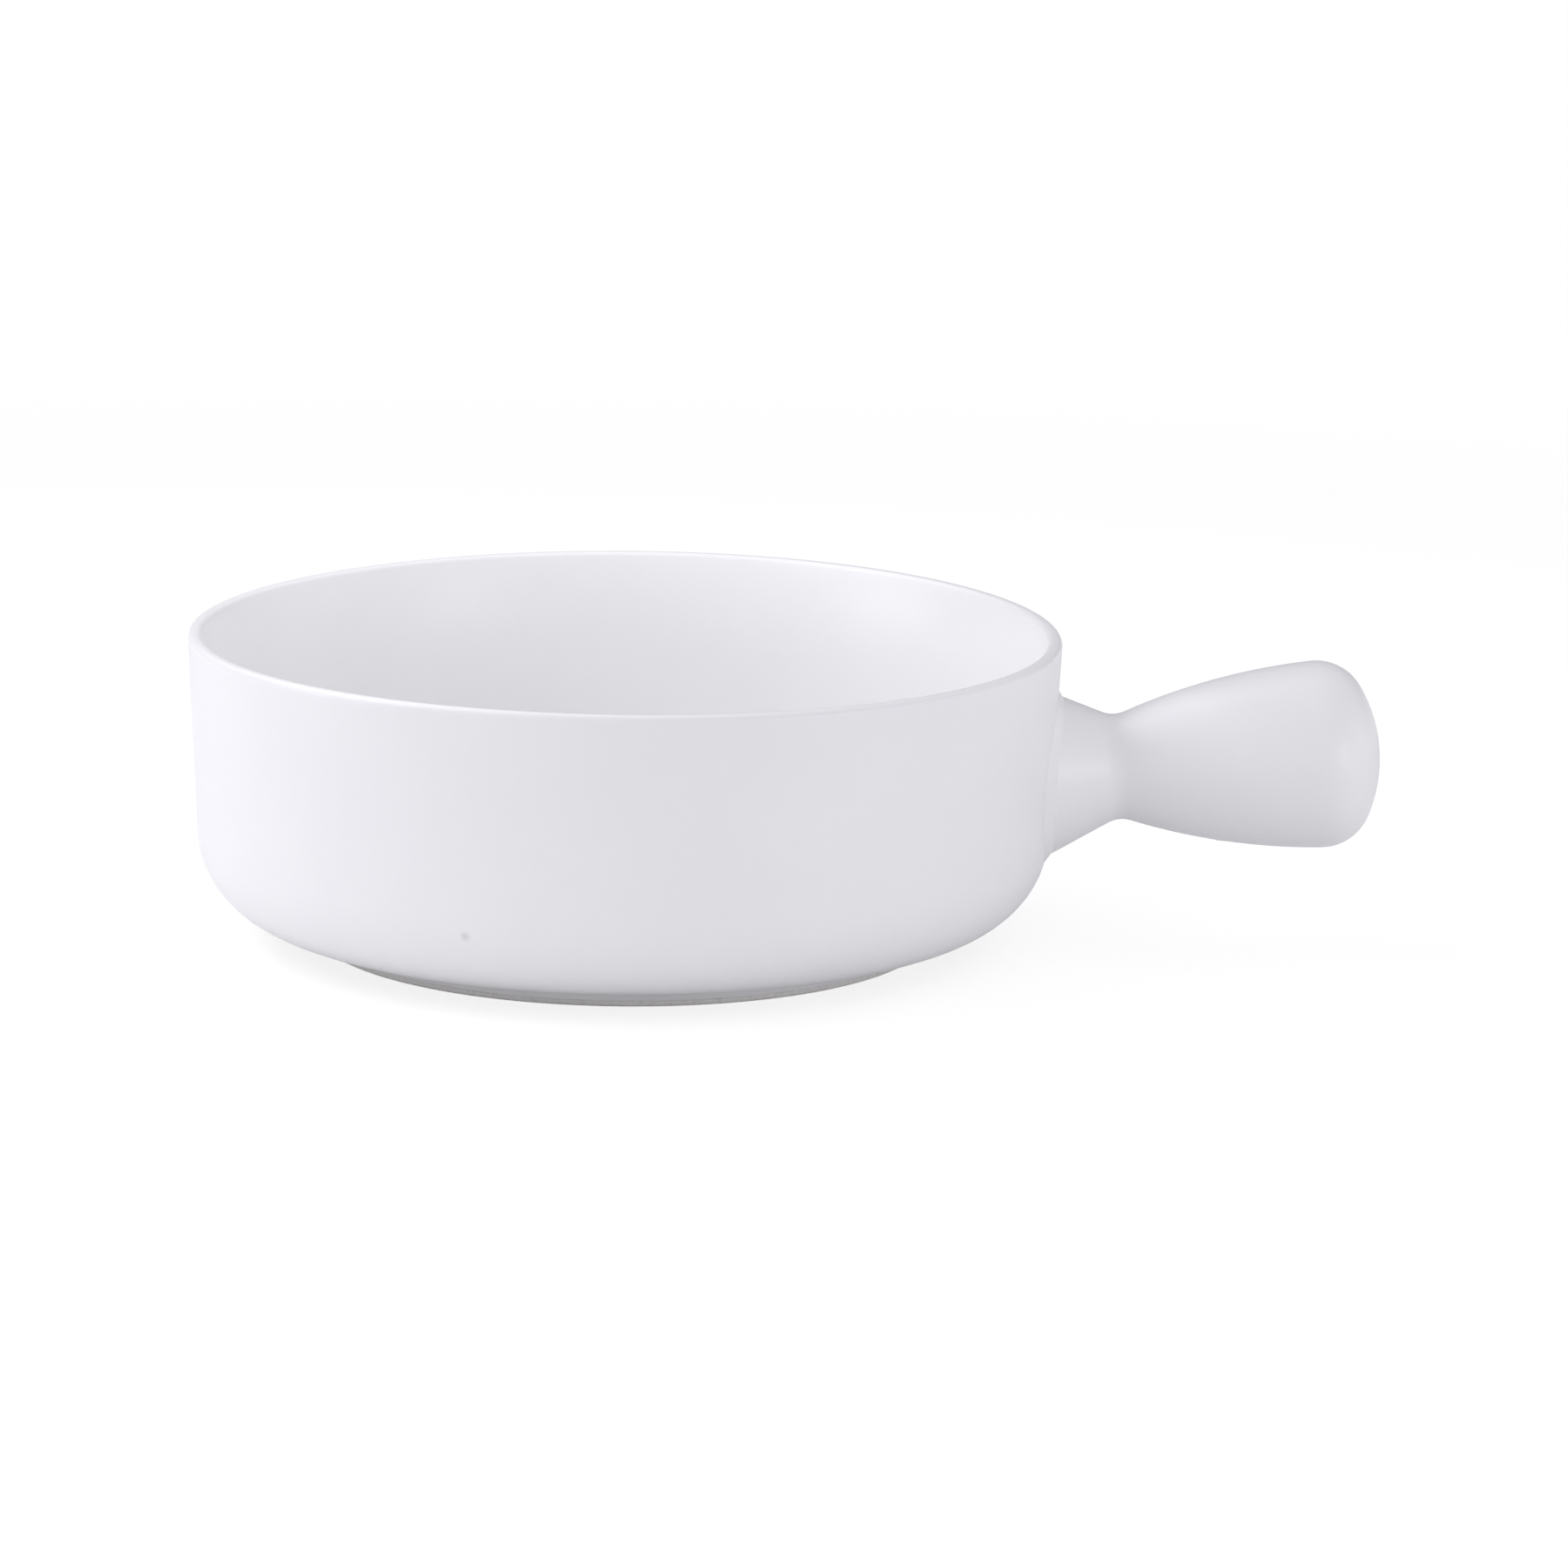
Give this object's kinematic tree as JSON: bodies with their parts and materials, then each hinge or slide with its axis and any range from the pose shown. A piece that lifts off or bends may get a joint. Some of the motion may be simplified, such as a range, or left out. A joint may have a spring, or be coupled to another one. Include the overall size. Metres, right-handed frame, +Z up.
{
  "type": "french onion soup crock",
  "caption": "Round white glazed soup crock with nearly straight sides, rounded heel, recessed foot ring and a waisted stub handle.",
  "frame": {"origin": "centre of the foot ring, on the plane that the crock stands on", "axes": "+Z up along the dish's axis, +X out along the handle, +Y to the left of the handle seen from the dish"},
  "size_m": [0.1914, 0.1398, 0.05],
  "materials": {
    "glazed_body": "satin white glaze, bare clay on the foot ring",
    "glazed_handle": "satin white glaze",
    "glazed_joint": "satin white glaze over wiped slip"
  },
  "bodies": {
    "root": {"bowl_body": "glazed_body", "handle": "glazed_handle", "luting_slip": "glazed_joint"}
  },
  "joints": []
}
